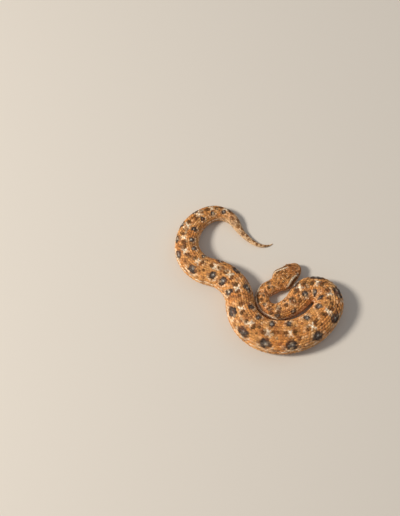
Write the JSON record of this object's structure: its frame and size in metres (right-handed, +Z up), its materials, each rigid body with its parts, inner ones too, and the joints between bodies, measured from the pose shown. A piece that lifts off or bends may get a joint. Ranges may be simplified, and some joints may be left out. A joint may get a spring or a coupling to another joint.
{
  "type": "horned adder",
  "caption": "Stout desert snake lying half coiled on flat ground, as a still life-size display model with flank eyespots and a pale saddle pattern.",
  "frame": {"origin": "on the ground, under the middle of the snake's box", "axes": "+Z up; +X along the longest side of the box, from the arch of the hind body towards the hairpin of the coil; +Y towards the side that the snout and tail tip point into"},
  "size_m": [0.1318, 0.1255, 0.0198],
  "materials": {
    "back_scales": "dry keeled scales, orange tan with grey-brown eyespots and pale marks",
    "pale_scales": "dry pale cream scales with faint brown flecks",
    "belly_scales": "smooth cream belly plates, slight sheen",
    "eye": "wet gloss, coppery with an upright slit pupil",
    "horn": "dry horny scale, satin"
  },
  "bodies": {
    "root": {"head": "back_scales", "lower_jaw": "pale_scales", "neck_1": "back_scales", "neck_2": "back_scales", "trunk_1": "back_scales", "trunk_2": "back_scales", "trunk_3": "back_scales", "trunk_4": "back_scales", "trunk_5": "back_scales", "trunk_6": "back_scales", "trunk_7": "back_scales", "trunk_8": "back_scales", "tail": "pale_scales", "eye_left": "eye", "eye_right": "eye", "horn_left": "horn", "horn_right": "horn"}
  },
  "joints": []
}
